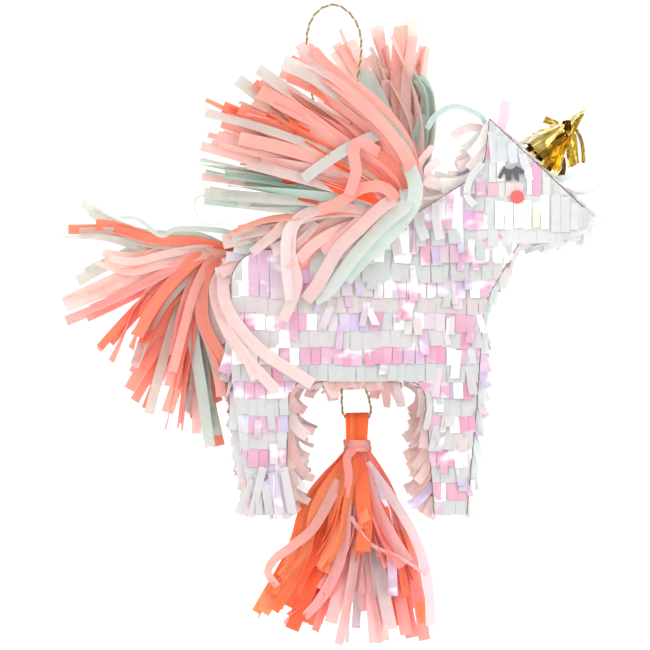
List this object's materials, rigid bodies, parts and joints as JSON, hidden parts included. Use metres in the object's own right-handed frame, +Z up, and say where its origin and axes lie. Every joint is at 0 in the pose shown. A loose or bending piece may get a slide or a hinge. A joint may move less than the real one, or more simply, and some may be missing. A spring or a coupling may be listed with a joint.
{
  "type": "pinata",
  "caption": "Small hanging winged-unicorn pinata of card, tissue and film fringe, with a twine loop and a belly trap door opened by a tassel.",
  "frame": {"origin": "under the top of the hanging twine loop, where the hook or peg bears on it", "axes": "+X from tail to muzzle, +Y from the near side panel to the far one, +Z up"},
  "size_m": [0.2468, 0.0869, 0.2889],
  "materials": {
    "card": "matte",
    "iridescent_film": "gloss",
    "pale_tissue": "matte",
    "peach_tissue": "matte",
    "pink_tissue": "matte",
    "wing_tissue": "matte",
    "tassel_tissue": "matte",
    "gold_foil": "gloss",
    "dark_paper": "matte",
    "coral_paper": "matte",
    "paper_tape": "satin",
    "twine": "matte"
  },
  "bodies": {
    "hanger": {"hanging_loop": "twine"},
    "knot": {"hanging_knot": "twine"},
    "shell": {"near_side_panel": "card", "far_side_panel": "card", "forehead_band": "card", "muzzle_band": "card", "chest_band": "card", "front_hoof_sole": "card", "front_leg_inner_band": "card", "hind_leg_inner_band": "card", "hind_hoof_sole": "card", "hind_leg_outer_band": "card", "back_band": "card", "crest_band": "card", "hanger_patch": "card", "horn_cone": "card", "front_leg_inner_fringe": "peach_tissue", "hind_leg_inner_fringe": "peach_tissue", "hind_leg_outer_fringe": "pale_tissue", "back_fringe": "pale_tissue", "chest_fringe": "pale_tissue", "muzzle_fringe": "pale_tissue", "forehead_fringe": "pale_tissue", "mane_fringe": "pink_tissue", "near_side_fringe": "iridescent_film", "far_side_fringe": "iridescent_film", "near_wing_tissue": "wing_tissue", "far_wing_tissue": "wing_tissue", "near_wing_gather": "wing_tissue", "far_wing_gather": "wing_tissue", "tail_tissue": "wing_tissue", "tail_gather": "wing_tissue", "horn_foil_fringe": "gold_foil", "near_eyelash": "dark_paper", "far_eyelash": "dark_paper", "near_cheek_dot": "coral_paper", "far_cheek_dot": "coral_paper", "hinge_tape_upper": "paper_tape"},
    "door": {"belly_door": "card", "belly_door_fringe": "peach_tissue", "belly_door_patch": "card", "hinge_tape_lower": "paper_tape", "tassel_twine_knots": "twine"},
    "tassel_twine": {"tassel_twine_loop": "twine"},
    "tassel": {"tassel_head": "tassel_tissue", "tassel_tie": "pink_tissue", "tassel_skirt": "tassel_tissue"}
  },
  "joints": [
    {"name": "body_turn", "type": "hinge", "parent": "hanger", "child": "knot", "pos_m": [0, 0, -0.107], "axis": [0, 0, 1], "range_deg": [-180, 180]},
    {"name": "body_sway", "type": "hinge", "parent": "knot", "child": "shell", "pos_m": [0, 0, -0.107], "axis": [1, 0, 0], "range_deg": [-10, 10]},
    {"name": "door_open", "type": "hinge", "parent": "shell", "child": "door", "pos_m": [0.011, 0.021, -0.1687], "axis": [1, 0, 0], "range_deg": [0, 70]},
    {"name": "twine_swing", "type": "hinge", "parent": "door", "child": "tassel_twine", "pos_m": [0.011, 0, -0.1697], "axis": [1, 0, 0], "range_deg": [-75, 5]},
    {"name": "tassel_swing", "type": "hinge", "parent": "tassel_twine", "child": "tassel", "pos_m": [0.011, 0, -0.1866], "axis": [1, 0, 0], "range_deg": [-30, 30]}
  ],
  "couplings": [
    {"joint": "twine_swing", "follows": "door_open", "ratio": -1}
  ]
}
